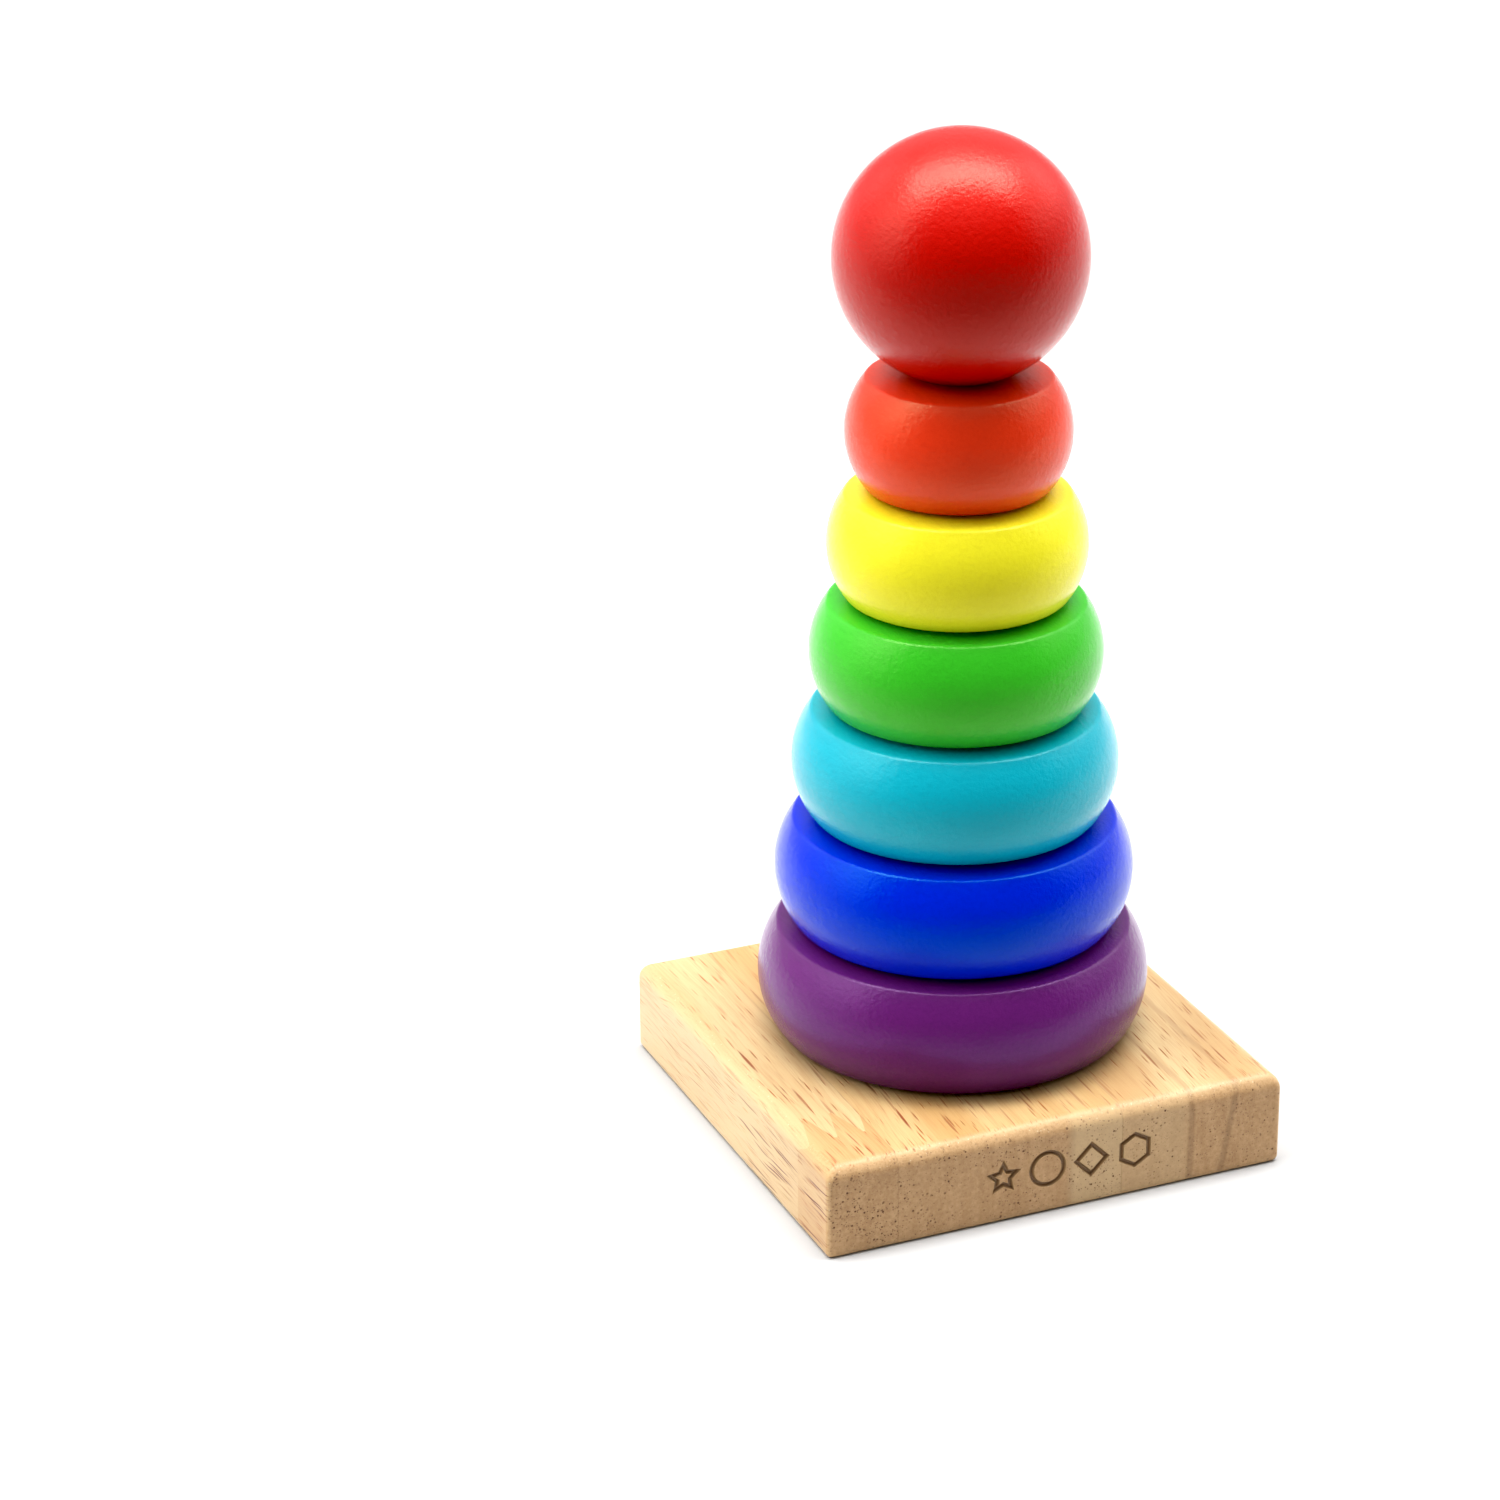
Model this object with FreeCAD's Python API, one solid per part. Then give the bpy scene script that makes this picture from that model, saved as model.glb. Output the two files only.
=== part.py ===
import FreeCAD, Part
import math
import os

# Wooden rainbow stacking tower: a square rubberwood base carries an upright post, and six painted rings of
# falling diameter are threaded on it under a ball with a blind bore. Millimetres, +Z up, with the origin at
# the centre of the base's underside. The base's grain and glue seams run along Y, so its faces across Y show
# end grain, and the one towards -Y is the front.

# Driving dimensions: base
BASE_SIDE = 100.0
BASE_THICKNESS = 20.0
CORNER_RADIUS = 1.2
TOP_EDGE_RADIUS = 3.3
BOTTOM_EDGE_RADIUS = 1.5
LEFT_SEAM_X = -35.0
RIGHT_SEAM_X = 14.0
FINGER_JOINT_Y = -33.4
FINGER_LENGTH = 9.6
FINGER_TIP = 0.6
FINGER_PITCH = 6.0
FINGER_TIPS_X = [-49.0 + FINGER_PITCH * i for i in range(3)]

# Driving dimensions: engraved row of shapes on the base's front. Each shape is given as its number of
# corners, and the share of the radius that every second corner is drawn in to. No corners means a circle.
MOTIF_SHAPES = ((10, 0.5), (0, 1.0), (4, 1.0), (6, 1.0))
MOTIF_RADIUS = 4.1
MOTIF_PITCH = 9.7
MOTIF_CENTRE_X = 2.4
GROOVE_MOUTH_WIDTH = 1.1
GROOVE_FLOOR_WIDTH = 0.4
GROOVE_DEPTH = 0.7

# Driving dimensions: rings, from the bottom of the stack to its top, each with its diameter and thickness.
# The outer part of a ring's end face falls away by the relief, so stacked rings touch near their bores only.
RING_SIZES = {
    "purple": (80.0, 23.8),
    "blue": (73.0, 23.2),
    "cyan": (66.0, 23.6),
    "green": (59.0, 23.0),
    "yellow": (52.0, 22.6),
    "orange": (45.0, 24.0),
}
RING_BULGE_RADIUS = 17.1
RING_CREASE_RADIUS = 1.4
RING_FACE_RELIEF = 0.8
RING_RELIEF_WIDTH = 5.0
BORE_DIAMETER = 17.0
BORE_EDGE_RADIUS = 0.8

# Driving dimensions: ball
BALL_DIAMETER = 50.0
BALL_FLAT_RADIUS = 9.6
BALL_EDGE_RADIUS = 0.5
BALL_BORE_DEPTH = 30.0

# Driving dimensions: post and the screw that holds it from below
POST_DIAMETER = 15.0
POST_SOCKET_FLOOR = 6.0
POST_REACH_INTO_BALL = 26.0
POST_TOP_CHAMFER = 2.0
POST_TOP_ROUNDING = 1.2
SCREW_RECESS = 1.0
SCREW_HEAD_RADIUS = 4.0
SCREW_CREST_RADIUS = 2.0
SCREW_ROOT_RADIUS = 1.4
SCREW_PITCH = 1.8
SCREW_THREAD_TURNS = 13
SCREW_HOLE_CLEARANCE = 0.2
DRIVE_RECESS_LENGTH = 4.4
DRIVE_RECESS_WIDTH = 0.9
DRIVE_RECESS_DEPTH = 1.3

STACK_TOP = BASE_THICKNESS + sum(thickness for _, thickness in RING_SIZES.values())
POST_TOP = STACK_TOP + POST_REACH_INTO_BALL
HALF_SIDE = BASE_SIDE / 2
CENTRE = FreeCAD.Vector(0, 0, 0)
UP = FreeCAD.Vector(0, 0, 1)
BACKWARDS = FreeCAD.Vector(0, 1, 0)


def vector(x, y, z):
    return FreeCAD.Vector(x, y, z)


def revolve(outline):
    """Solid of revolution about Z from a closed list of edges in the XZ half plane."""
    return Part.Face(Part.Wire(outline)).revolve(CENTRE, UP, 360)


def polyline(points):
    """Edges of a closed polygon given as (radius, height) pairs in the XZ half plane."""
    corners = [vector(radius, 0, height) for radius, height in points]
    return [Part.makeLine(a, b) for a, b in zip(corners, corners[1:] + corners[:1])]


def circular_edges(shape, radius, height):
    """Full-circle edges about Z with this radius and height."""
    circles = [e for e in shape.Edges if not e.Degenerated and isinstance(e.Curve, Part.Circle)]
    level = [e for e in circles if abs(e.Curve.Center.z - height) < 1e-4]
    return [e for e in level if abs(e.Curve.Radius - radius) < 1e-4]


def rounded_board():
    """The whole base before it is parted into staves: a square board with soft corners and edges."""
    board = Part.makeBox(BASE_SIDE, BASE_SIDE, BASE_THICKNESS, vector(-HALF_SIDE, -HALF_SIDE, 0))
    upright = [e for e in board.Edges if abs(e.Vertexes[0].Z - e.Vertexes[1].Z) > BASE_THICKNESS / 2]
    board = board.makeFillet(CORNER_RADIUS, upright)
    board = board.makeFillet(TOP_EDGE_RADIUS, board_edges_at(board, BASE_THICKNESS))
    return board.makeFillet(BOTTOM_EDGE_RADIUS, board_edges_at(board, 0))


def board_edges_at(board, height):
    """The board's outline edges that lie in a level plane."""
    return [e for e in board.Edges if all(abs(v.Z - height) < 1e-6 for v in e.Vertexes)]


def motif_outline(corners, draw_in, centre_x, depth):
    """Closed outline of one engraved shape, upright and at this depth behind the base's front face."""
    centre = vector(centre_x, depth - HALF_SIDE, BASE_THICKNESS / 2)
    if corners == 0:
        return Part.Wire(Part.makeCircle(MOTIF_RADIUS, centre, BACKWARDS))
    points = []
    for i in range(corners):
        radius = MOTIF_RADIUS if i % 2 == 0 else MOTIF_RADIUS * draw_in
        angle = 2 * math.pi * i / corners
        points.append(centre + vector(radius * math.sin(angle), 0, radius * math.cos(angle)))
    return Part.makePolygon(points + points[:1])


def motif_plug(corners, draw_in, centre_x, mouth_inset, floor_inset):
    """A tapered plug from in front of the base down to the groove's floor, inset from the shape's outline."""
    front = motif_outline(corners, draw_in, centre_x, -GROOVE_DEPTH)
    floor = motif_outline(corners, draw_in, centre_x, GROOVE_DEPTH)
    front_inset = 2 * mouth_inset - floor_inset
    sections = [front.makeOffset2D(-front_inset, 2), floor.makeOffset2D(-floor_inset, 2)]
    return Part.makeLoft(sections, True, True)


def motif():
    """The engraved lines: inside each shape's outline, a groove of even width with sloping sides."""
    slope = (GROOVE_MOUTH_WIDTH - GROOVE_FLOOR_WIDTH) / 2
    first_x = MOTIF_CENTRE_X - MOTIF_PITCH * (len(MOTIF_SHAPES) - 1) / 2
    grooves = []
    for i, (corners, draw_in) in enumerate(MOTIF_SHAPES):
        x = first_x + MOTIF_PITCH * i
        outer = motif_plug(corners, draw_in, x, 0, slope)
        island = motif_plug(corners, draw_in, x, GROOVE_MOUTH_WIDTH, GROOVE_MOUTH_WIDTH - slope)
        grooves.append(outer.cut(island))
    return Part.Compound(grooves)


def screw_seat():
    """What the screw needs removed from the base: a counterbore, a countersink and a clearance hole."""
    wide = SCREW_HEAD_RADIUS + SCREW_HOLE_CLEARANCE
    hole = SCREW_CREST_RADIUS + SCREW_HOLE_CLEARANCE
    cone_top = SCREW_RECESS + SCREW_HEAD_RADIUS - hole
    outline = [(0, 0), (wide, 0), (wide, SCREW_RECESS), (SCREW_HEAD_RADIUS, SCREW_RECESS)]
    outline += [(hole, cone_top), (hole, POST_SOCKET_FLOOR), (0, POST_SOCKET_FLOOR)]
    return revolve(polyline(outline))


def finger_cutter():
    """A prism over the front end of the left stave, notched where the rear length's fingers reach into it."""
    near = FINGER_JOINT_Y - FINGER_LENGTH / 2
    far = FINGER_JOINT_Y + FINGER_LENGTH / 2
    points = [(-BASE_SIDE, -BASE_SIDE), (-BASE_SIDE, far)]
    for tip_x in FINGER_TIPS_X:
        points.append((tip_x - (FINGER_PITCH - FINGER_TIP) / 2, far))
        points.append((tip_x - FINGER_TIP / 2, near))
        points.append((tip_x + FINGER_TIP / 2, near))
        points.append((tip_x + (FINGER_PITCH - FINGER_TIP) / 2, far))
    points += [(0, far), (0, -BASE_SIDE)]
    corners = [vector(x, y, 0) for x, y in points]
    return Part.Face(Part.makePolygon(corners + corners[:1])).extrude(UP * BASE_THICKNESS)


def slab(x_from, x_to):
    """A block over the whole base between two planes across X."""
    return Part.makeBox(x_to - x_from, 2 * BASE_SIDE, BASE_THICKNESS, vector(x_from, -BASE_SIDE, 0))


def base_staves():
    """The base's staves by name: three glued side by side, the left one finger jointed from two lengths."""
    socket = Part.makeCylinder(POST_DIAMETER / 2, BASE_THICKNESS, vector(0, 0, POST_SOCKET_FLOOR))
    board = rounded_board().cut(motif()).cut(socket).cut(screw_seat())
    left = board.common(slab(-BASE_SIDE, LEFT_SEAM_X))
    front_end = finger_cutter()
    return {
        "base_stave_left_front": left.common(front_end),
        "base_stave_left_rear": left.cut(front_end),
        "base_stave_middle": board.common(slab(LEFT_SEAM_X, RIGHT_SEAM_X)),
        "base_stave_right": board.common(slab(RIGHT_SEAM_X, BASE_SIDE)),
    }


def screw():
    """Countersunk cross-head wood screw, head down, with its thread drawn as rings one pitch apart."""
    cone_top = SCREW_RECESS + SCREW_HEAD_RADIUS - SCREW_CREST_RADIUS
    outline = [(0, SCREW_RECESS), (SCREW_HEAD_RADIUS, SCREW_RECESS)]
    outline += [(SCREW_CREST_RADIUS, cone_top), (SCREW_CREST_RADIUS, POST_SOCKET_FLOOR)]
    outline.append((SCREW_ROOT_RADIUS, POST_SOCKET_FLOOR))
    for turn in range(SCREW_THREAD_TURNS):
        height = POST_SOCKET_FLOOR + SCREW_PITCH * turn
        outline.append((SCREW_CREST_RADIUS, height + SCREW_PITCH / 2))
        outline.append((SCREW_ROOT_RADIUS, height + SCREW_PITCH))
    outline.append((0, POST_SOCKET_FLOOR + SCREW_PITCH * (SCREW_THREAD_TURNS + 1)))
    body = revolve(polyline(outline))
    half_length = DRIVE_RECESS_LENGTH / 2
    half_width = DRIVE_RECESS_WIDTH / 2
    slot = Part.makeBox(
        DRIVE_RECESS_LENGTH,
        DRIVE_RECESS_WIDTH,
        DRIVE_RECESS_DEPTH,
        vector(-half_length, -half_width, SCREW_RECESS),
    )
    crossed = slot.copy()
    crossed.rotate(CENTRE, UP, 90)
    return body.cut(slot).cut(crossed)


def post(held_by):
    """Dowel with a softened top end, standing on the floor of the base's socket and cut to fit the screw."""
    radius = POST_DIAMETER / 2
    dowel = Part.makeCylinder(radius, POST_TOP - POST_SOCKET_FLOOR, vector(0, 0, POST_SOCKET_FLOOR))
    dowel = dowel.makeChamfer(POST_TOP_CHAMFER, circular_edges(dowel, radius, POST_TOP))
    shoulder = circular_edges(dowel, radius, POST_TOP - POST_TOP_CHAMFER)
    rim = circular_edges(dowel, radius - POST_TOP_CHAMFER, POST_TOP)
    return dowel.makeFillet(POST_TOP_ROUNDING, shoulder + rim).cut(held_by)


def ring(diameter, thickness, bottom):
    """Turned ring: a bulged rim between soft creases, end faces relieved towards them, and a through bore."""
    radius = diameter / 2
    bore = BORE_DIAMETER / 2
    middle = bottom + thickness / 2
    top = bottom + thickness
    low = bottom + RING_FACE_RELIEF
    high = top - RING_FACE_RELIEF
    crease = radius - RING_BULGE_RADIUS + math.sqrt(RING_BULGE_RADIUS**2 - (high - middle) ** 2)
    flat = crease - RING_RELIEF_WIDTH
    rim = Part.Arc(vector(crease, 0, low), vector(radius, 0, middle), vector(crease, 0, high))
    outline = [
        Part.makeLine(vector(bore, 0, bottom), vector(flat, 0, bottom)),
        Part.makeLine(vector(flat, 0, bottom), vector(crease, 0, low)),
        rim.toShape(),
        Part.makeLine(vector(crease, 0, high), vector(flat, 0, top)),
        Part.makeLine(vector(flat, 0, top), vector(bore, 0, top)),
        Part.makeLine(vector(bore, 0, top), vector(bore, 0, bottom)),
    ]
    body = revolve(outline)
    creases = circular_edges(body, crease, low) + circular_edges(body, crease, high)
    body = body.makeFillet(RING_CREASE_RADIUS, creases)
    mouths = circular_edges(body, bore, bottom) + circular_edges(body, bore, top)
    return body.makeFillet(BORE_EDGE_RADIUS, mouths)


def ball():
    """Ball with a small flat to sit on the top ring and a blind bore that drops over the post's end."""
    radius = BALL_DIAMETER / 2
    bore = BORE_DIAMETER / 2
    centre_height = STACK_TOP + math.sqrt(radius**2 - BALL_FLAT_RADIUS**2)
    bore_end = STACK_TOP + BALL_BORE_DEPTH
    surface = Part.Arc(
        vector(BALL_FLAT_RADIUS, 0, STACK_TOP),
        vector(radius, 0, centre_height),
        vector(0, 0, centre_height + radius),
    )
    outline = [
        Part.makeLine(vector(bore, 0, STACK_TOP), vector(BALL_FLAT_RADIUS, 0, STACK_TOP)),
        surface.toShape(),
        Part.makeLine(vector(0, 0, centre_height + radius), vector(0, 0, bore_end)),
        Part.makeLine(vector(0, 0, bore_end), vector(bore, 0, bore_end)),
        Part.makeLine(vector(bore, 0, bore_end), vector(bore, 0, STACK_TOP)),
    ]
    body = revolve(outline)
    edges = circular_edges(body, bore, STACK_TOP) + circular_edges(body, BALL_FLAT_RADIUS, STACK_TOP)
    return body.makeFillet(BALL_EDGE_RADIUS, edges)


def rings():
    """The six rings by name, stacked from the base's top, the widest at the bottom."""
    made = {}
    bottom = BASE_THICKNESS
    for colour, (diameter, thickness) in RING_SIZES.items():
        made["ring_" + colour] = ring(diameter, thickness, bottom)
        bottom += thickness
    return made


def main():
    post_screw = screw()
    pieces = base_staves()
    pieces["post"] = post(post_screw)
    pieces["post_screw"] = post_screw
    pieces.update(rings())
    pieces["ball_red"] = ball()
    os.makedirs("parts", exist_ok=True)
    for name, shape in pieces.items():
        assert shape.isValid() and len(shape.Solids) == 1, name
        shape.Solids[0].exportStep(f"parts/{name}.step")


main()
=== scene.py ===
import math

import bmesh
import bpy
from mathutils import Matrix, Vector, noise


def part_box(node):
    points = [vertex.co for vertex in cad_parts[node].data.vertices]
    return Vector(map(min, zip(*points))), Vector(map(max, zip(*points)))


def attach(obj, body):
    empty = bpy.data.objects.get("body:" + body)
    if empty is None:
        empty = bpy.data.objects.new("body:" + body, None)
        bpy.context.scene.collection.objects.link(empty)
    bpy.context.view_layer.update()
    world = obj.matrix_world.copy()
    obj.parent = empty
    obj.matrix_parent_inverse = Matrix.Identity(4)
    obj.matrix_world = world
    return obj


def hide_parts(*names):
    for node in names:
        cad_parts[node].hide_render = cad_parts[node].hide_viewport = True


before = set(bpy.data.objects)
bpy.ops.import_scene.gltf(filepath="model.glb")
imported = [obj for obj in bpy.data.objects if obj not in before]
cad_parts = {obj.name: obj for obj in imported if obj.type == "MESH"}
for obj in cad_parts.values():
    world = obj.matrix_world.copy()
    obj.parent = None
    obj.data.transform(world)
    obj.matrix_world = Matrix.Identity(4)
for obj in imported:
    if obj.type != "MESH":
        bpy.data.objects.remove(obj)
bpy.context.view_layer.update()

# The looks of the wooden rainbow stacking tower, in metres and in the CAD frame: +Z up, the base's grain
# along Y, and the engraved end-grain face towards -Y. Turned pieces are rebuilt as fine meshes round the
# post's axis. The base's staves and the screw keep their CAD meshes.

MM = 0.001
RINGS = ("purple", "blue", "cyan", "green", "yellow", "orange")

# Turned pieces: sizes, and how many points each curve of a section has
RING_BULGE_RADIUS = 17.1 * MM
RING_CREASE_RADIUS = 1.4 * MM
RING_FACE_RELIEF = 0.8 * MM
RING_RELIEF_WIDTH = 5.0 * MM
BORE_RADIUS = 8.5 * MM
BORE_EDGE_RADIUS = 0.8 * MM
BALL_RADIUS = 25.0 * MM
BALL_EDGE_RADIUS = 0.5 * MM
BALL_BORE_DEPTH = 30.0 * MM
POST_END_RADIUS = 2.2 * MM
FLAT_STEP = 1.2 * MM
TURNED_SEGMENTS = 256
RING_BULGE_POINTS = 44
RING_CREASE_POINTS = 9
RING_BORE_EDGE_POINTS = 8
BALL_POINTS = 150
BALL_EDGE_POINTS = 6
POST_END_POINTS = 12
ON_AXIS = 1e-9
ON_FACE = 1e-6

# Hand sanding: the most that it takes off, its waves to a metre, and how much finer its second waves are
SANDING_DEPTH = 0.09 * MM
SANDING_WAVES = 90
SANDING_FINENESS = 3.7

# Base, in millimetres: its front and left faces, the two seams, the engraving's centre and half its size
# along X and Z, where a paler band starts, and where two growth lines cross the underside
FRONT_Y = -50.0
LEFT_X = -50.0
LEFT_SEAM_X = -35.0
RIGHT_SEAM_X = 14.0
PANEL_CENTRE = (2.4, 10.0)
PANEL_HALF = (21.0, 4.7)
PALE_BAND_X = 2.7
UPRIGHT_LINE_X = 29.4
LEANING_LINE_X = 36.2
LEANING_LINE_SLOPE = 0.19

# Camera: a point on the post's axis, and where the lens stands and aims from there
PIVOT_HEIGHT = 0.105
CAMERA_AZIMUTH = math.radians(-25.62)
CAMERA_ELEVATION = math.radians(22.09)
CAMERA_DISTANCE = 0.8914
AIM_RIGHT = -0.0408
AIM_UP = -0.0235
CAMERA_ROLL = math.radians(-0.435)
CAMERA_LENS = 107.4
CAMERA_SENSOR = 36.0
CAMERA_CLIP = 0.01
BLACK_LEVEL = 0.004

# Floor: how light it is to the camera, and in reflections before and behind the object, with the distances
# along the view, in metres, between which those change over
FLOOR_RADIUS = 12.0
FLOOR_SEGMENTS = 96
FLOOR_RISE = 0.1 * MM
FLOOR_SEEN = 0.45
FLOOR_BEFORE = 0.18
FLOOR_BEHIND = 0.62
FLOOR_FADE = (-0.35, -0.02)

# Light tent: how bright it is low down, half way up and high up. The back comes first. Each further side
# then takes over at an azimuth from the camera, softened over a number of degrees either way, and so does
# each level above the lowest at an elevation.
TENT_BACK = (0.5, 0.8, 2.5)
TENT_SIDES = (
    (-140, 12, (1.0, 2.0, 2.0)),  # left, towards the rear
    (-95, 12, (1.8, 4.0, 10.0)),  # left
    (-56, 9, (0.05, 0.05, 1.0)),  # opening, towards the camera
    (80, 9, (0.6, 2.0, 5.5)),  # right
    (112, 12, (0.9, 2.7, 5.5)),  # right, towards the rear
    (145, 12, TENT_BACK),
)
TENT_HALF_WAY_UP = (20, 8)
TENT_HIGH_UP = (50, 10)
TENT_OVERHEAD = (78, 7)
TENT_ROOF = 9.0

LAMP_WATTS = 6.6
LAMP_LENGTH = 0.8
LAMP_WIDTH = 0.26
LAMP_HEIGHT = 0.75
LAMP_SETBACK = 0.05


def srgb(red, green, blue):
    """Linear colour, with alpha, from 0 to 255 display values."""
    shares = [value / 255 for value in (red, green, blue)]
    linear = [((share + 0.055) / 1.055) ** 2.4 if share > 0.04 else share / 12.92 for share in shares]
    return (*linear, 1)


# Paints: the colour, a deeper shade, the tint of what it reflects, and the seed of its pattern
PAINTS = {
    "purple": (srgb(92, 29, 98), srgb(77, 22, 86), (0.84, 0.50, 1, 1), 1),
    "blue": (srgb(2, 33, 193), srgb(2, 26, 171), (0.05, 0.72, 1, 1), 2),
    "cyan": (srgb(18, 161, 180), srgb(13, 146, 165), (0.46, 1, 1, 1), 3),
    "green": (srgb(54, 178, 37), srgb(44, 162, 30), (0.74, 1, 0.42, 1), 4),
    "yellow": (srgb(231, 223, 41), srgb(219, 207, 33), (1, 1, 0.37, 1), 5),
    "orange": (srgb(223, 56, 27), srgb(209, 46, 22), (1, 0.88, 0.44, 1), 6),
    "red": (srgb(178, 16, 10), srgb(167, 12, 8), (1, 0.60, 0.44, 1), 8),
}

# Wood tones: light, deep, thread, hair and vessel along the grain; middle, band, dark and pale across it
HONEY = [srgb(186, 156, 109), srgb(172, 135, 85), srgb(161, 118, 72), srgb(148, 84, 36), srgb(122, 48, 16)]
CREAM = [srgb(190, 164, 120), srgb(178, 144, 98), srgb(165, 125, 80), srgb(150, 88, 42), srgb(126, 54, 20)]
AMBER = [srgb(188, 159, 113), srgb(175, 136, 88), srgb(162, 113, 68), srgb(148, 76, 30), srgb(120, 40, 12)]
END_TONES = [srgb(176, 140, 98), srgb(162, 125, 83), srgb(136, 99, 64), srgb(196, 162, 118)]
END_PORE = srgb(84, 48, 30)
PALE_END = srgb(189, 163, 122)
EDGE_SPECK = srgb(202, 187, 155)
GLUE = srgb(108, 76, 47)
GROOVE_RIM = srgb(156, 124, 88)
GROOVE_FLOOR = srgb(120, 92, 62)

# Patterns: how many of their cells or waves there are to a millimetre along X, Y and Z
PAINT_FIBRES = (1.4, 0.05, 1.4)
GRAIN_WANDER = (0.03, 0.012, 0.03)
DRIFT = (0.07, 0.008, 0.07)
BANDS = (0.34, 0.004, 0.06)
FIBRES = (2.4, 0.05, 2.4)
THREADS = (5.5, 0.16, 5.5)
VESSELS = (0.95, 0.055, 0.95)
HAIRS = (1.7, 0.11, 1.7)
VESSEL_PATCHES = (0.06, 0.02, 0.06)
PITS = (1.05, 0.004, 1.05)
DOTS = (2.2, 0.004, 2.2)
END_MOTTLE = (0.9, 0.004, 0.9)
EDGE_SPECKS = (1.3, 1.3, 1.3)
STREAK_WANDER = (0.0, 0.03, 0.05)
STREAKS = (0.05, 0.05, 1.5)
FINE_STREAKS = (0.05, 0.11, 2.6)
DOWEL_FIBRES = (1.8, 1.8, 0.05)
DOWEL_BANDS = (0.35, 0.2, 0.008)
TURNING_MARKS = 6.0

# How far patterns wander, in millimetres
GRAIN_WANDER_MM = 9.0
STREAK_WANDER_MM = 6.0

# Surface relief, and refraction of the coatings
PAINT_FIBRE_RELIEF = 0.05 * MM
PEEL_RELIEF = 0.11 * MM
GRIT_RELIEF = 0.022 * MM
FIBRE_RELIEF = 0.05 * MM
PORE_RELIEF = 0.12 * MM
GRAIN_RELIEF = 0.02 * MM
DOWEL_RELIEF = 0.06 * MM
TURNING_RELIEF = 0.02 * MM
PAINT_IOR = 1.38
LACQUER_IOR = 1.45


# Shader nodes


class Tree:
    """A material's or world's node tree, with short calls that take values or sockets and give sockets."""

    def __init__(self, owner):
        owner.use_nodes = True
        self.tree = owner.node_tree
        self.tree.nodes.clear()

    def node(self, kind, inputs=None, **settings):
        made = self.tree.nodes.new("ShaderNode" + kind)
        for name, value in settings.items():
            setattr(made, name, value)
        for name, value in (inputs or {}).items():
            if isinstance(value, bpy.types.NodeSocket):
                self.tree.links.new(value, made.inputs[name])
            else:
                made.inputs[name].default_value = value
        return made

    def math(self, operation, a, b=0.0):
        return self.node("Math", {0: a, 1: b}, operation=operation).outputs[0]

    def product(self, first, *others):
        for value in others:
            first = self.math("MULTIPLY", first, value)
        return first

    def vector(self, operation, a, b):
        made = self.node("VectorMath", {0: a, 1: b}, operation=operation)
        return made.outputs["Value" if operation == "DOT_PRODUCT" else "Vector"]

    def split(self, vector):
        return self.node("SeparateXYZ", {0: vector}).outputs

    def join(self, x, y, z):
        return self.node("CombineXYZ", {0: x, 1: y, 2: z}).outputs[0]

    def stretch(self, parts, scales):
        """A point from its three coordinates, each times its own scale."""
        return self.join(*[self.math("MULTIPLY", part, scale) for part, scale in zip(parts, scales)])

    def step(self, value, low, high, out_low=0.0, out_high=1.0):
        """Smooth step from out_low below low to out_high above high. Low may be the larger of the two."""
        inputs = {"Value": value, "From Min": low, "From Max": high, "To Min": out_low, "To Max": out_high}
        return self.node("MapRange", inputs, interpolation_type="SMOOTHSTEP").outputs[0]

    def noise(self, point, scale, detail=2.0, roughness=0.5):
        inputs = {"Vector": point, "Scale": scale, "Detail": detail, "Roughness": roughness}
        return self.node("TexNoise", inputs).outputs["Fac"]

    def flecks(self, point, share, radius, soft=0.5):
        """Spots round this share of scattered cell centres: their mask, and each one's own random tone."""
        cell = self.node("TexVoronoi", {"Vector": point, "Scale": 1.0})
        chance, tone, _ = self.split(cell.outputs["Color"])
        size = self.step(chance, 1.0 - share, 1.0, 0.5 * radius, radius)
        edge = self.math("DIVIDE", cell.outputs["Distance"], size)
        present = self.math("GREATER_THAN", chance, 1.0 - share)
        return self.product(self.step(edge, 1.0 + soft, 1.0 - soft), present), tone

    def mix(self, factor, a, b):
        """A colour from a, where the factor is 0, to b."""
        return self.node("Mix", {0: factor, 6: a, 7: b}, data_type="RGBA").outputs[2]

    def blend(self, factor, a, b):
        """A number from a, where the factor is 0, to b."""
        return self.node("Mix", {0: factor, 2: a, 3: b}).outputs[0]

    def bump(self, height, distance, normal=None):
        inputs = {"Height": height, "Distance": distance}
        if normal is not None:
            inputs["Normal"] = normal
        return self.node("Bump", inputs).outputs[0]

    def finish(self, **inputs):
        """A Principled surface from inputs named with underscores for spaces, as the material's output."""
        inputs = {name.replace("_", " "): value for name, value in inputs.items()}
        self.node("OutputMaterial", {"Surface": self.node("BsdfPrincipled", inputs).outputs[0]})


def new_material(name):
    material = bpy.data.materials.new(name)
    return material, Tree(material)


def row_point(t):
    """A point of the object in millimetres, which stays with the piece when its body moves."""
    return t.vector("MULTIPLY", t.node("TexCoord").outputs["Object"], (1000, 1000, 1000))


# Materials


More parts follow.
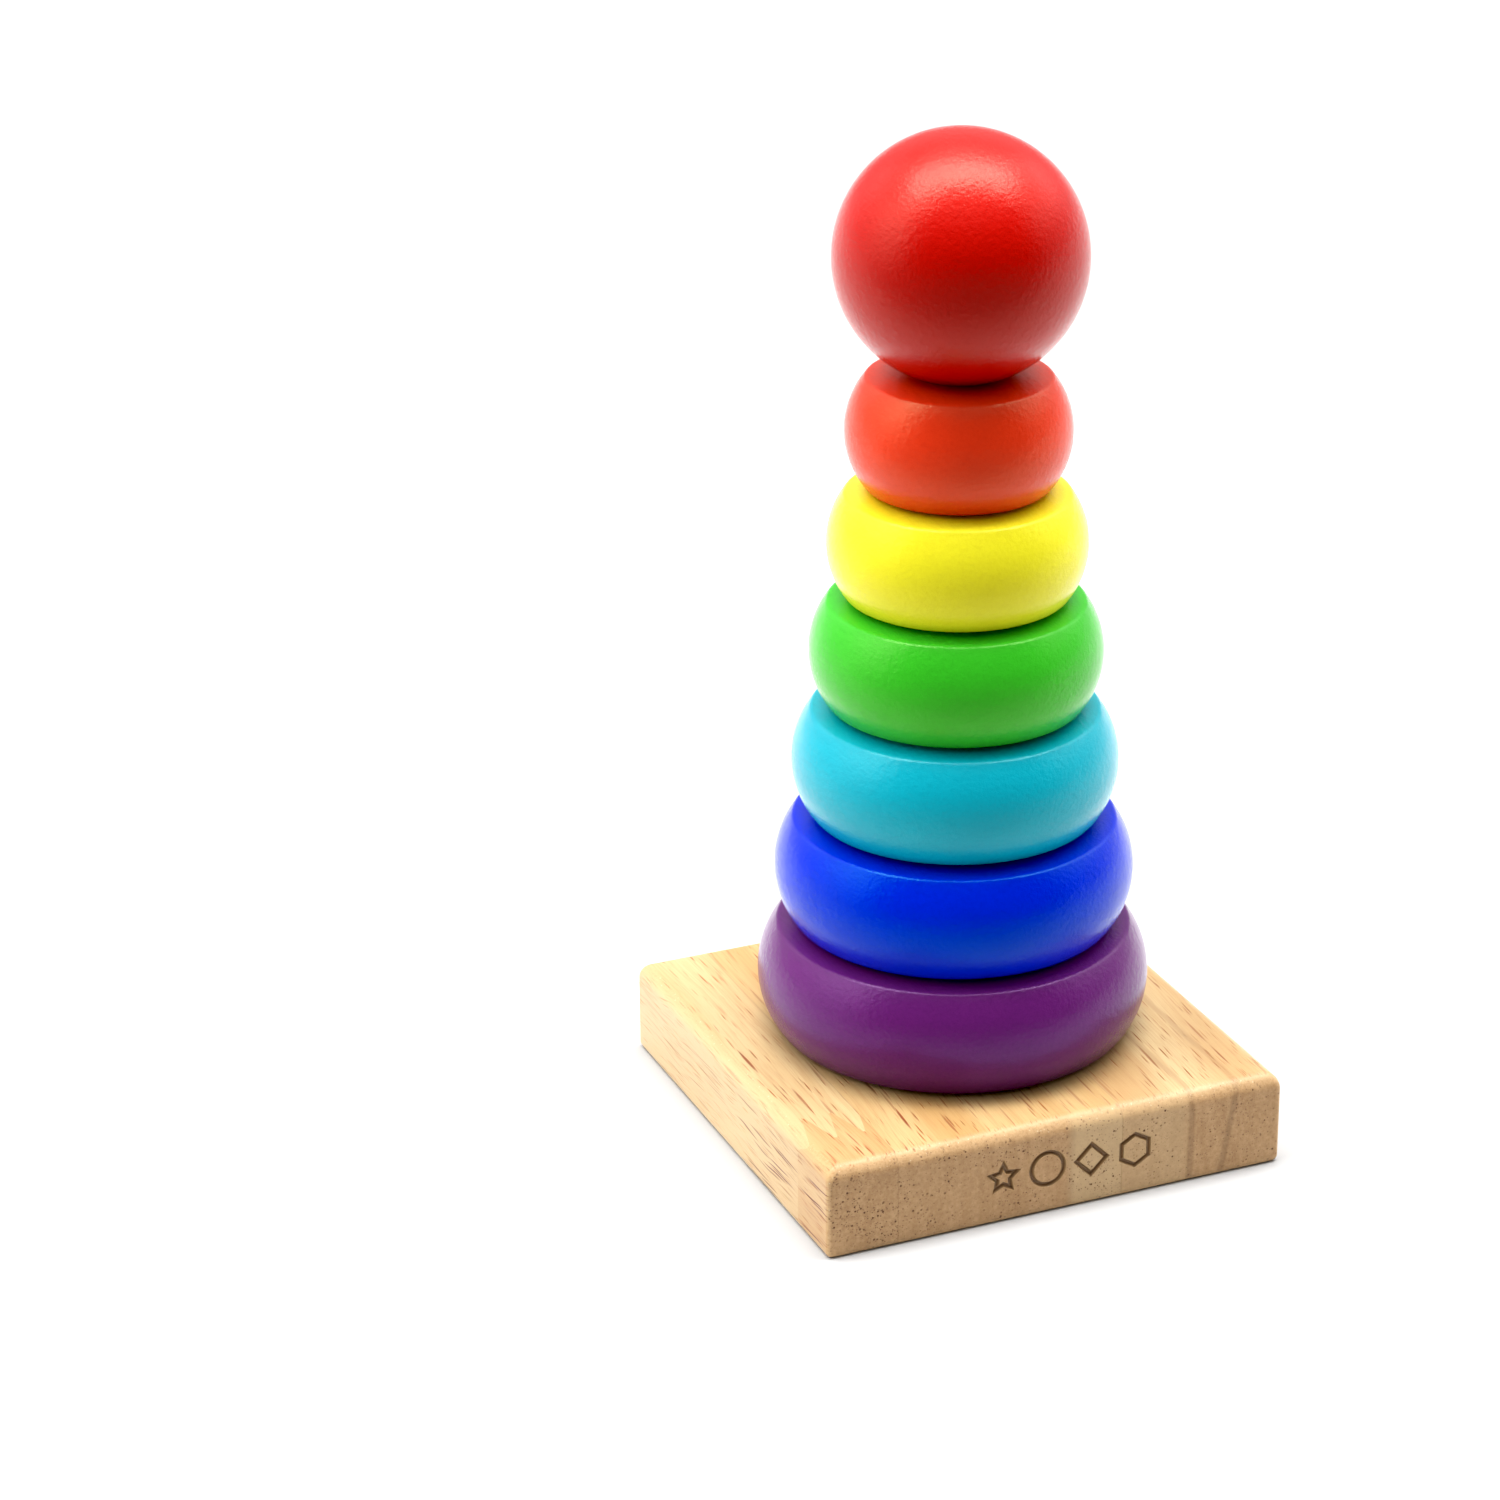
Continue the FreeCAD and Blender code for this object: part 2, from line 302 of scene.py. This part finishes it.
def painted_wood(name, colour, shade, sheen, seed):
    """Satin paint on turned wood: slight mottling, wood fibres that show through faintly, fine orange peel
    and finer grit. The sheen tints what the paint reflects."""
    material, t = new_material(name)
    here = t.vector("ADD", row_point(t), (37.0 * seed, 11.0 * seed, 5.0 * seed))
    mottle = t.noise(here, 0.055, 3.0)
    fibres = t.noise(t.stretch(t.split(here), PAINT_FIBRES), 1.0, 3.0)
    peel = t.noise(here, 0.9, 3.0, 0.6)
    grit = t.noise(here, 5.0, 2.0, 0.6)
    tint = t.mix(t.step(mottle, 0.3, 0.7, 0.0, 0.35), colour, shade)
    tint = t.mix(t.step(fibres, 0.42, 0.8, 0.0, 0.4), tint, shade)
    tint = t.mix(t.step(grit, 0.40, 0.75, 0.0, 0.5), tint, shade)
    rough = t.math("ADD", t.step(mottle, 0.25, 0.75, 0.17, 0.22), t.step(grit, 0.4, 0.75, 0.0, 0.06))
    surface = t.bump(fibres, PAINT_FIBRE_RELIEF)
    surface = t.bump(peel, PEEL_RELIEF, surface)
    surface = t.bump(grit, GRIT_RELIEF, surface)
    t.finish(Base_Color=tint, Roughness=rough, Normal=surface, IOR=PAINT_IOR, Specular_Tint=sheen)
    return material


def rubberwood(name, seed, tones, end_tones, pores, figure):
    """Clear-lacquered rubberwood with its grain along Y. The tones are the long grain's light, deep, thread,
    hair and vessel colours, and the end grain's middle, band, dark and pale ones. Pores is the share of the
    end grain's places that hold one. Figure adds the stave's own marks to both grains."""
    material, t = new_material(name)
    point = row_point(t)
    here = t.vector("ADD", point, (41.0 * seed, 17.0 * seed, 23.0 * seed))
    x, y, z = t.split(here)
    wander = t.math("SUBTRACT", t.noise(t.stretch((x, y, z), GRAIN_WANDER), 1.0, 1.0), 0.5)
    bent = (t.math("ADD", x, t.product(wander, GRAIN_WANDER_MM)), y, z)
    bands = t.noise(t.stretch(bent, BANDS), 1.0, 3.0)
    fibres = t.noise(t.stretch(bent, FIBRES), 1.0, 4.0, 0.65)
    grain = t.noise(here, 2.2, 3.0, 0.7)
    across, edge = face_masks(t)
    groove = engraving_mask(t, *t.split(point))
    vessels, hairs = open_vessels(t, bent, (x, y, z))
    pits, dots = end_pores(t, here, pores)

    long_colour = long_grain(t, bent, bands, fibres, tones)
    long_colour = t.mix(hairs, long_colour, tones[3])
    long_colour = t.mix(vessels, long_colour, tones[4])
    end_colour = end_grain(t, (x, y, z), bands, end_tones)
    long_colour, end_colour = figure(t, t.split(point), long_colour, end_colour)
    end_colour = t.mix(dots, end_colour, END_PORE)
    end_colour = t.mix(pits, end_colour, END_PORE)
    colour = t.mix(across, long_colour, end_colour)
    # Rounded edges and corners are painted lighter in patches that follow the grain: a painted highlight
    # along them.
    painted_edge_highlight = t.product(edge, t.step(grain, 0.35, 0.6, 0.1, 0.5))
    colour = t.mix(painted_edge_highlight, colour, t.mix(across, tones[0], end_tones[3]))
    specks, _ = t.flecks(t.stretch((x, y, z), EDGE_SPECKS), 0.4, 0.2)
    colour = t.mix(t.product(specks, edge, 0.7), colour, EDGE_SPECK)
    # The engraved lines are coloured darker than the face, darkest at their floor.
    groove_colour = t.mix(t.step(t.split(point)[1], FRONT_Y + 0.1, FRONT_Y + 0.6), GROOVE_RIM, GROOVE_FLOOR)
    colour = t.mix(groove, colour, groove_colour)

    hollow = t.blend(across, t.math("MAXIMUM", vessels, hairs), t.math("MAXIMUM", pits, dots))
    hollow = t.product(hollow, t.math("SUBTRACT", 1.0, groove))
    rough = t.math("ADD", t.step(across, 0.0, 1.0, 0.36, 0.55), t.product(hollow, 0.2))
    surface = t.bump(fibres, FIBRE_RELIEF)
    surface = t.bump(t.math("SUBTRACT", 1.0, hollow), PORE_RELIEF, surface)
    surface = t.bump(grain, GRAIN_RELIEF, surface)
    t.finish(Base_Color=colour, Roughness=rough, Normal=surface, IOR=LACQUER_IOR, Specular_IOR_Level=0.35)
    return material


def face_masks(t):
    """1 on faces across the grain, and 1 on rounded edges and corners."""
    facing = [t.math("ABSOLUTE", part) for part in t.split(t.node("TexCoord").outputs["Normal"])]
    squarest = t.math("MAXIMUM", t.math("MAXIMUM", facing[0], facing[1]), facing[2])
    return t.step(facing[1], 0.45, 0.85), t.step(squarest, 0.98, 0.86)


def open_vessels(t, bent, parts):
    """Masks of the vessels cut open along faces along the grain, and of the finer hairs between them."""
    vessels, vessel_tone = t.flecks(t.stretch(bent, VESSELS), 0.85, 0.28, 0.4)
    hairs, hair_tone = t.flecks(t.stretch(bent, HAIRS), 0.85, 0.28, 0.5)
    patchy = t.step(t.noise(t.stretch(parts, VESSEL_PATCHES), 1.0, 2.0), 0.38, 0.62, 0.5, 1.0)
    vessels = t.product(vessels, patchy, t.step(vessel_tone, 0.0, 1.0, 0.45, 1.0))
    return vessels, t.product(hairs, t.step(hair_tone, 0.0, 1.0, 0.3, 0.9))


def end_pores(t, here, share):
    """Masks of the large and the small pores on faces across the grain, which crowd together in places."""
    parts = t.split(here)
    crowd = t.step(t.noise(here, 0.11, 2.0), 0.38, 0.60, 0.3, 1.0)
    pits, pit_tone = t.flecks(t.stretch(parts, PITS), share, 0.25, 0.45)
    dots, dot_tone = t.flecks(t.stretch(parts, DOTS), share, 0.3, 0.6)
    pits = t.product(pits, crowd, t.step(pit_tone, 0.0, 1.0, 0.55, 1.0))
    return pits, t.product(dots, crowd, t.step(dot_tone, 0.0, 1.0, 0.2, 0.85))


def long_grain(t, bent, bands, fibres, tones):
    """The long grain's colour without its vessels."""
    light, deep, thread = tones[:3]
    drift = t.noise(t.stretch(bent, DRIFT), 1.0, 2.0)
    threads = t.noise(t.stretch(bent, THREADS), 1.0, 2.0)
    colour = t.mix(t.step(drift, 0.35, 0.65), light, deep)
    colour = t.mix(t.step(bands, 0.45, 0.7, 0.0, 0.55), colour, deep)
    colour = t.mix(t.step(fibres, 0.42, 0.72, 0.0, 0.5), colour, thread)
    return t.mix(t.step(threads, 0.5, 0.75, 0.0, 0.25), colour, thread)


def end_grain(t, parts, bands, tones):
    """The end grain's colour without its pores."""
    middle, band, dark, pale = tones
    mottle = t.noise(t.stretch(parts, END_MOTTLE), 1.0, 4.0, 0.75)
    colour = t.mix(t.step(bands, 0.38, 0.66, 0.0, 0.7), middle, band)
    colour = t.mix(t.step(mottle, 0.40, 0.70, 0.0, 0.40), colour, dark)
    return t.mix(t.step(mottle, 0.50, 0.32, 0.0, 0.25), colour, pale)


def engraving_mask(t, x, y, z):
    """1 inside the engraved lines of the front face, which are the only surfaces set back from it there."""
    behind = t.step(y, FRONT_Y + 0.02, FRONT_Y + 0.15)
    near = t.math("LESS_THAN", y, FRONT_Y + 1.5)
    level = t.math("LESS_THAN", t.math("ABSOLUTE", t.math("SUBTRACT", z, PANEL_CENTRE[1])), PANEL_HALF[1])
    along = t.math("LESS_THAN", t.math("ABSOLUTE", t.math("SUBTRACT", x, PANEL_CENTRE[0])), PANEL_HALF[0])
    return t.product(behind, near, level, along)


def mark(t, distance, half_width, strength):
    """Mask of a line with soft sides, from a signed distance in millimetres."""
    return t.step(t.math("ABSOLUTE", distance), half_width * 1.6, half_width * 0.4, 0.0, strength)


def shifted(t, parts, place, scale, reach):
    """Distance along X from this place, drawn to and fro by a slow noise over this reach in millimetres."""
    wobble = t.math("SUBTRACT", t.noise(t.join(*parts), scale, 1.0), 0.5)
    return t.math("ADD", t.math("SUBTRACT", parts[0], place), t.product(wobble, reach))


def left_figure(t, parts, long_colour, end_colour):
    """A paler left face with long dark vessels half way up and again low down, and the seam's glue line."""
    x, y, z = parts
    side = t.step(x, LEFT_X + 1.5, LEFT_X + 0.2)
    pale = t.product(side, t.step(y, -45.0, -5.0, 0.2, 0.6))
    long_colour = t.mix(pale, long_colour, srgb(214, 184, 138))
    wobble = t.noise(t.stretch(parts, STREAK_WANDER), 1.0, 2.0)
    level = t.math("ADD", z, t.product(wobble, STREAK_WANDER_MM))
    streaks, tone = t.flecks(t.stretch((x, y, level), STREAKS), 0.92, 0.36, 0.35)
    fine, fine_tone = t.flecks(t.stretch((x, y, level), FINE_STREAKS), 0.7, 0.38, 0.4)
    half_way = t.product(t.step(z, 3.5, 7.0), t.step(z, 18.0, 13.5))
    low = t.product(t.step(z, 5.5, 3.0), t.step(y, -6.0, -12.0))
    front = t.step(y, 12.0, -12.0, 0.35, 1.0)
    where = t.product(side, front, t.math("MAXIMUM", half_way, low))
    fine = t.product(fine, side, t.step(fine_tone, 0.0, 1.0, 0.1, 0.6))
    long_colour = t.mix(fine, long_colour, srgb(156, 92, 44))
    streaks = t.product(streaks, t.step(tone, 0.0, 1.0, 0.65, 1.0), where)
    long_colour = t.mix(streaks, long_colour, srgb(100, 36, 6))
    return seam_line(t, x, LEFT_SEAM_X, long_colour, end_colour)


def middle_figure(t, parts, long_colour, end_colour):
    """A paler band next to the right seam, with a soft dark growth line where it starts."""
    edge = shifted(t, parts, PALE_BAND_X, 0.09, 1.5)
    pale = t.step(edge, -1.4, 1.0)
    end_colour = t.mix(t.product(pale, 0.6), end_colour, PALE_END)
    long_colour = t.mix(t.product(pale, 0.25), long_colour, srgb(201, 173, 125))
    end_colour = t.mix(mark(t, edge, 0.9, 0.12), end_colour, srgb(101, 71, 43))
    long_colour, end_colour = seam_line(t, parts[0], RIGHT_SEAM_X, long_colour, end_colour)
    return seam_line(t, parts[0], LEFT_SEAM_X, long_colour, end_colour)


def right_figure(t, parts, long_colour, end_colour):
    """Two dark growth lines, one upright and one leaning, that run on along the top."""
    upright = shifted(t, parts, UPRIGHT_LINE_X, 0.06, 1.6)
    foot = t.math("ADD", LEANING_LINE_X, t.product(parts[2], LEANING_LINE_SLOPE))
    leaning = shifted(t, parts, foot, 0.06, 1.6)
    pale = t.step(upright, 0.4, -2.5)
    end_colour = t.mix(t.product(pale, 0.35), end_colour, PALE_END)
    lines = t.math("MAXIMUM", mark(t, upright, 0.7, 0.32), mark(t, leaning, 0.7, 0.34))
    end_colour = t.mix(lines, end_colour, srgb(88, 59, 35))
    long_colour = t.mix(t.product(lines, 0.9), long_colour, srgb(127, 83, 47))
    return seam_line(t, parts[0], RIGHT_SEAM_X, long_colour, end_colour)


def seam_line(t, x, seam, long_colour, end_colour):
    """The thin glue line along a seam."""
    line = mark(t, t.math("SUBTRACT", x, seam), 0.14, 0.22)
    return t.mix(line, long_colour, GLUE), t.mix(line, end_colour, GLUE)


def dowel_wood(name):
    """Bare, sanded dowel with its grain along Z."""
    material, t = new_material(name)
    parts = t.split(row_point(t))
    fibres = t.noise(t.stretch(parts, DOWEL_FIBRES), 1.0, 4.0, 0.6)
    bands = t.noise(t.stretch(parts, DOWEL_BANDS), 1.0, 2.0)
    colour = t.mix(t.step(bands, 0.35, 0.65), srgb(233, 205, 160), srgb(216, 180, 130))
    colour = t.mix(t.step(fibres, 0.5, 0.8, 0.0, 0.5), colour, srgb(180, 136, 88))
    rough = t.step(fibres, 0.3, 0.7, 0.5, 0.65)
    t.finish(Base_Color=colour, Roughness=rough, Normal=t.bump(fibres, DOWEL_RELIEF))
    return material


def zinc_steel(name):
    """Zinc-plated steel with turning marks round the screw's axis."""
    material, t = new_material(name)
    here = row_point(t)
    x, y, z = t.split(here)
    radius = t.math("SQRT", t.math("ADD", t.product(x, x), t.product(y, y)))
    marks = t.noise(t.join(t.product(radius, TURNING_MARKS), 0.0, t.product(z, TURNING_MARKS)), 1.0)
    stain = t.noise(here, 0.5, 3.0)
    colour = t.mix(t.step(stain, 0.35, 0.7), srgb(205, 203, 196), srgb(160, 156, 146))
    rough = t.step(stain, 0.3, 0.7, 0.25, 0.42)
    t.finish(Base_Color=colour, Metallic=1.0, Roughness=rough, Normal=t.bump(marks, TURNING_RELIEF))
    return material


# Turned pieces


def line(start, end, step=FLAT_STEP):
    """Points from start up to, but not including, end."""
    count = max(1, round((Vector(end) - Vector(start)).length / step))
    return [Vector(start).lerp(Vector(end), i / count) for i in range(count)]


def unit(degrees):
    """The direction at this angle, turning from +radius towards +height."""
    return Vector((math.cos(math.radians(degrees)), math.sin(math.radians(degrees))))


def arc(centre, radius, start_deg, end_deg, count):
    """Points round an arc, without its last one."""
    angles = [start_deg + (end_deg - start_deg) * i / count for i in range(count)]
    return [Vector(centre) + radius * unit(angle) for angle in angles]


def crease_circle(bulge, face_point, slope, side):
    """Centre of the small circle that rounds the crease of a bulge and an end face, and its angles where it
    meets them. The face passes through face_point and rises inwards by its slope. Side is 1 for a top face
    and -1 for a bottom one."""
    tilt = math.atan(slope)
    normal = Vector((math.sin(tilt), side * math.cos(tilt)))
    along = Vector((math.cos(tilt), -side * math.sin(tilt)))
    offset = normal.dot(Vector(face_point) - bulge) - RING_CREASE_RADIUS
    reach = RING_BULGE_RADIUS - RING_CREASE_RADIUS
    centre = bulge + normal * offset + along * math.sqrt(reach**2 - offset**2)
    bulge_angle = math.degrees(math.atan2(centre.y - bulge.y, centre.x - bulge.x))
    return centre, bulge_angle, side * (90 - math.degrees(tilt))


def ring_profile(radius, bottom, top):
    """Closed section of a ring, as (radius, height) points from the bore's lower edge round the outside."""
    bulge = Vector((radius - RING_BULGE_RADIUS, (bottom + top) / 2))
    rise = (top - bottom) / 2 - RING_FACE_RELIEF
    crease = bulge.x + math.sqrt(RING_BULGE_RADIUS**2 - rise**2)
    flat = crease - RING_RELIEF_WIDTH
    slope = RING_FACE_RELIEF / RING_RELIEF_WIDTH
    upper, upper_tilt, upper_end = crease_circle(bulge, (flat, top), slope, 1)
    lower, lower_tilt, lower_end = crease_circle(bulge, (flat, bottom), slope, -1)
    upper_arc = arc(upper, RING_CREASE_RADIUS, upper_tilt, upper_end, RING_CREASE_POINTS)
    lower_arc = arc(lower, RING_CREASE_RADIUS, lower_end, lower_tilt, RING_CREASE_POINTS)
    upper_foot = upper + RING_CREASE_RADIUS * unit(upper_end)
    ease = BORE_EDGE_RADIUS
    mouth = BORE_RADIUS + ease
    points = arc((mouth, bottom + ease), ease, 180, 270, RING_BORE_EDGE_POINTS)
    points += line((mouth, bottom), (flat, bottom))
    points += line((flat, bottom), lower_arc[0])
    points += lower_arc
    points += arc(bulge, RING_BULGE_RADIUS, lower_tilt, upper_tilt, RING_BULGE_POINTS)
    points += upper_arc
    points += line(upper_foot, (flat, top))
    points += line((flat, top), (mouth, top))
    points += arc((mouth, top - ease), ease, 90, 180, RING_BORE_EDGE_POINTS)
    points += line((BORE_RADIUS, top - ease), (BORE_RADIUS, bottom + ease))
    return points


def ball_profile(flat_height, top):
    """Open section of the ball, from the end of its blind bore down, round the flat and up to the top."""
    centre = Vector((0, top - BALL_RADIUS))
    ease = BALL_EDGE_RADIUS
    eased_height = flat_height + ease
    shoulder = Vector((math.sqrt((BALL_RADIUS - ease) ** 2 - (eased_height - centre.y) ** 2), eased_height))
    tilt = math.degrees(math.atan2(shoulder.y - centre.y, shoulder.x))
    mouth = BORE_RADIUS + ease
    bore_end = flat_height + BALL_BORE_DEPTH
    points = line((0, bore_end), (BORE_RADIUS, bore_end))
    points += line((BORE_RADIUS, bore_end), (BORE_RADIUS, eased_height))
    points += arc((mouth, eased_height), ease, 180, 270, BALL_EDGE_POINTS)
    points += line((mouth, flat_height), (shoulder.x, flat_height), ease / 2)
    points += arc(shoulder, ease, -90, tilt, BALL_EDGE_POINTS)
    points += arc(centre, BALL_RADIUS, tilt, 90, BALL_POINTS)
    points.append(Vector((0, top)))
    return points


def post_profile(radius, bottom, top):
    """Open section of the dowel, from its foot to its rounded end."""
    ease = POST_END_RADIUS
    points = line((0, bottom), (radius, bottom))
    points += line((radius, bottom), (radius, top - ease))
    points += arc((radius - ease, top - ease), ease, 0, 90, POST_END_POINTS)
    points += line((radius - ease, top), (0, top))
    points.append(Vector((0, top)))
    return points


def sanded(point, radial, depth, seed):
    """The point drawn in by up to depth, by an amount that varies slowly over the surface."""
    place = point * SANDING_WAVES + Vector((seed * 7.3, seed * 3.1, 0))
    amount = 0.5 + 0.35 * noise.noise(place) + 0.15 * noise.noise(place * SANDING_FINENESS)
    return point - radial * depth * max(0.0, min(1.0, amount))


def ring_sanding(profile, bottom, top):
    """How deep sanding may go at each point of a ring's section: nowhere in the bore or on the flats."""
    depths = []
    for point in profile:
        outside = point.x > BORE_RADIUS + 3 * BORE_EDGE_RADIUS
        clear = bottom + ON_FACE < point.y < top - ON_FACE
        depths.append(SANDING_DEPTH if outside and clear else 0.0)
    return depths


def new_object(name, data):
    """An object of this data, linked to the scene."""
    made = bpy.data.objects.new(name, data)
    bpy.context.scene.collection.objects.link(made)
    return made


def new_mesh_object(name, mesh, material):
    """An object made from a bmesh, which it frees."""
    data = bpy.data.meshes.new(name)
    mesh.to_mesh(data)
    mesh.free()
    data.materials.append(material)
    return new_object(name, data)


def turned(name, profile, closed, material, body, node, seed=0, sanding=None):
    """A piece of revolution about Z, from its section and how deep sanding may go at each of its points."""
    mesh = bmesh.new()
    angles = [2 * math.pi * i / TURNED_SEGMENTS for i in range(TURNED_SEGMENTS)]
    radials = [Vector((math.cos(angle), math.sin(angle), 0)) for angle in angles]
    rows = []
    for point, depth in zip(profile, sanding or [0.0] * len(profile)):
        level = Vector((0, 0, point.y))
        if point.x < ON_AXIS:
            rows.append([mesh.verts.new(level)] * TURNED_SEGMENTS)
            continue
        places = [sanded(radial * point.x + level, radial, depth, seed) for radial in radials]
        rows.append([mesh.verts.new(place) for place in places])
    for low, high in zip(rows, rows[1:] + rows[:1] if closed else rows[1:]):
        for i in range(TURNED_SEGMENTS):
            k = (i + 1) % TURNED_SEGMENTS
            corners = [low[i], low[k], high[k], high[i]]
            unique = [corner for n, corner in enumerate(corners) if corner not in corners[:n]]
            mesh.faces.new(unique).smooth = True
    bmesh.ops.recalc_face_normals(mesh, faces=mesh.faces)
    piece = new_mesh_object(name, mesh, material)
    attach(piece, body)
    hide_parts(node)
    return piece


def build_turned_pieces():
    for seed, colour in enumerate(RINGS):
        node = "ring_" + colour
        low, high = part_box(node)
        profile = ring_profile(high.x, low.z, high.z)
        sanding = ring_sanding(profile, low.z, high.z)
        material = painted_wood("paint_" + colour, *PAINTS[colour])
        ring = turned("turned_" + node, profile, True, material, node, node, seed, sanding)
    low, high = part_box("ball_red")
    profile = ball_profile(low.z, high.z)
    material = painted_wood("paint_red", *PAINTS["red"])
    ball = turned("turned_ball_red", profile, False, material, "ball_red", "ball_red")
    low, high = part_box("post")
    profile = post_profile(high.x, low.z, high.z)
    dowel = turned("turned_post", profile, False, dowel_wood("dowel"), "base", "post")


def dress_base():
    """Wood for the staves, each cut from its own board, and plated steel for the screw."""
    staves = {
        "base_stave_left_front": (1, AMBER, END_TONES, 0.95, left_figure),
        "base_stave_left_rear": (2, CREAM, END_TONES, 0.6, left_figure),
        "base_stave_middle": (3, HONEY, END_TONES, 0.72, middle_figure),
        "base_stave_right": (4, CREAM, END_TONES, 0.72, right_figure),
    }
    for node, board in staves.items():
        dress(node, rubberwood("wood_" + node, *board))
    dress("post_screw", zinc_steel("screw_zinc"))


def dress(node, material):
    """Gives a CAD node this material in every slot."""
    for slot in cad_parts[node].material_slots:
        slot.material = material


# Stage


def camera_axes():
    """The level directions to the camera's right and away from it."""
    right = Vector((math.cos(CAMERA_AZIMUTH), math.sin(CAMERA_AZIMUTH), 0))
    away = Vector((-math.sin(CAMERA_AZIMUTH), math.cos(CAMERA_AZIMUTH), 0))
    return right, away


def build_camera():
    right, away = camera_axes()
    back = -away * math.cos(CAMERA_ELEVATION) + Vector((0, 0, math.sin(CAMERA_ELEVATION)))
    pivot = Vector((0, 0, PIVOT_HEIGHT))
    place = pivot + back * CAMERA_DISTANCE
    aim = pivot + right * AIM_RIGHT + back.cross(right) * AIM_UP
    turn = (aim - place).to_track_quat("-Z", "Y").to_matrix().to_4x4()
    camera = new_object("camera", bpy.data.cameras.new("camera"))
    camera.data.lens = CAMERA_LENS
    camera.data.sensor_width = CAMERA_SENSOR
    camera.data.clip_start = CAMERA_CLIP
    camera.matrix_world = Matrix.Translation(place) @ turn @ Matrix.Rotation(CAMERA_ROLL, 4, "Z")
    bpy.context.scene.camera = camera


def seen_or_reflected(t, seen, reflected):
    """A number that is one thing to camera rays and another to all other rays."""
    return t.blend(t.node("LightPath").outputs["Is Camera Ray"], reflected, seen)


def build_floor():
    """A plain white floor, just above the base's bottom face so that the two never share a plane. What the
    object reflects of it is dimmest towards the camera."""
    _, away = camera_axes()
    material, t = new_material("floor_paper")
    forward = t.vector("DOT_PRODUCT", t.node("TexCoord").outputs["Object"], tuple(away))
    reflected = t.step(forward, *FLOOR_FADE, FLOOR_BEFORE, FLOOR_BEHIND)
    white = seen_or_reflected(t, FLOOR_SEEN, reflected)
    t.finish(Base_Color=t.join(white, white, white), Roughness=0.9, Specular_IOR_Level=0.0)
    mesh = bmesh.new()
    bmesh.ops.create_circle(mesh, cap_ends=True, segments=FLOOR_SEGMENTS, radius=FLOOR_RADIUS)
    floor = new_mesh_object("floor", mesh, material)
    floor.location.z = FLOOR_RISE


def tent_direction(t):
    """Azimuth from the camera, positive to its right, and elevation of a world direction, in degrees."""
    right, away = camera_axes()
    direction = t.node("TexCoord").outputs["Generated"]
    sideways = t.vector("DOT_PRODUCT", direction, tuple(right))
    forwards = t.vector("DOT_PRODUCT", direction, tuple(-away))
    azimuth = t.math("DEGREES", t.math("ARCTAN2", sideways, forwards))
    elevation = t.math("DEGREES", t.math("ARCSINE", t.split(direction)[2]))
    return azimuth, elevation


def ladder(t, angle, first, rungs):
    """A strength that moves from the first to each rung's in turn, softly, round that rung's angle."""
    value = first
    for centre, half, strength in rungs:
        value = t.blend(t.step(angle, centre - half, centre + half), value, strength)
    return value


def build_tent():
    """A white light tent round the object, open and dark towards the camera, which sees plain white."""
    world = bpy.data.worlds.new("tent")
    bpy.context.scene.world = world
    t = Tree(world)
    azimuth, elevation = tent_direction(t)
    levels = []
    for level, back in enumerate(TENT_BACK):
        rungs = [(centre, half, strengths[level]) for centre, half, strengths in TENT_SIDES]
        levels.append(ladder(t, azimuth, back, rungs))
    low, half_way, high = levels
    rungs = [(*TENT_HALF_WAY_UP, half_way), (*TENT_HIGH_UP, high), (*TENT_OVERHEAD, TENT_ROOF)]
    strength = seen_or_reflected(t, 1.0, ladder(t, elevation, low, rungs))
    background = t.node("Background", {"Color": (1, 1, 1, 1), "Strength": strength})
    t.node("OutputWorld", {"Surface": background.outputs[0]})


def build_overhead_lamp():
    """A softbox over the object, a little behind it, with its long side across the view."""
    _, away = camera_axes()
    light = bpy.data.lights.new("overhead", "AREA")
    light.shape = "RECTANGLE"
    light.size = LAMP_LENGTH
    light.size_y = LAMP_WIDTH
    light.energy = LAMP_WATTS
    place = Vector((0, 0, LAMP_HEIGHT)) + away * LAMP_SETBACK
    lamp = new_object("overhead", light)
    lamp.matrix_world = Matrix.Translation(place) @ Matrix.Rotation(CAMERA_AZIMUTH, 4, "Z")


def set_display():
    """Plain display colours, with the very darkest tones brought down to black."""
    view = bpy.context.scene.view_settings
    view.view_transform = "Standard"
    view.use_curve_mapping = True
    view.curve_mapping.black_level = (BLACK_LEVEL,) * 3
    view.curve_mapping.update()


build_turned_pieces()
dress_base()
build_floor()
build_camera()
build_tent()
build_overhead_lamp()
set_display()
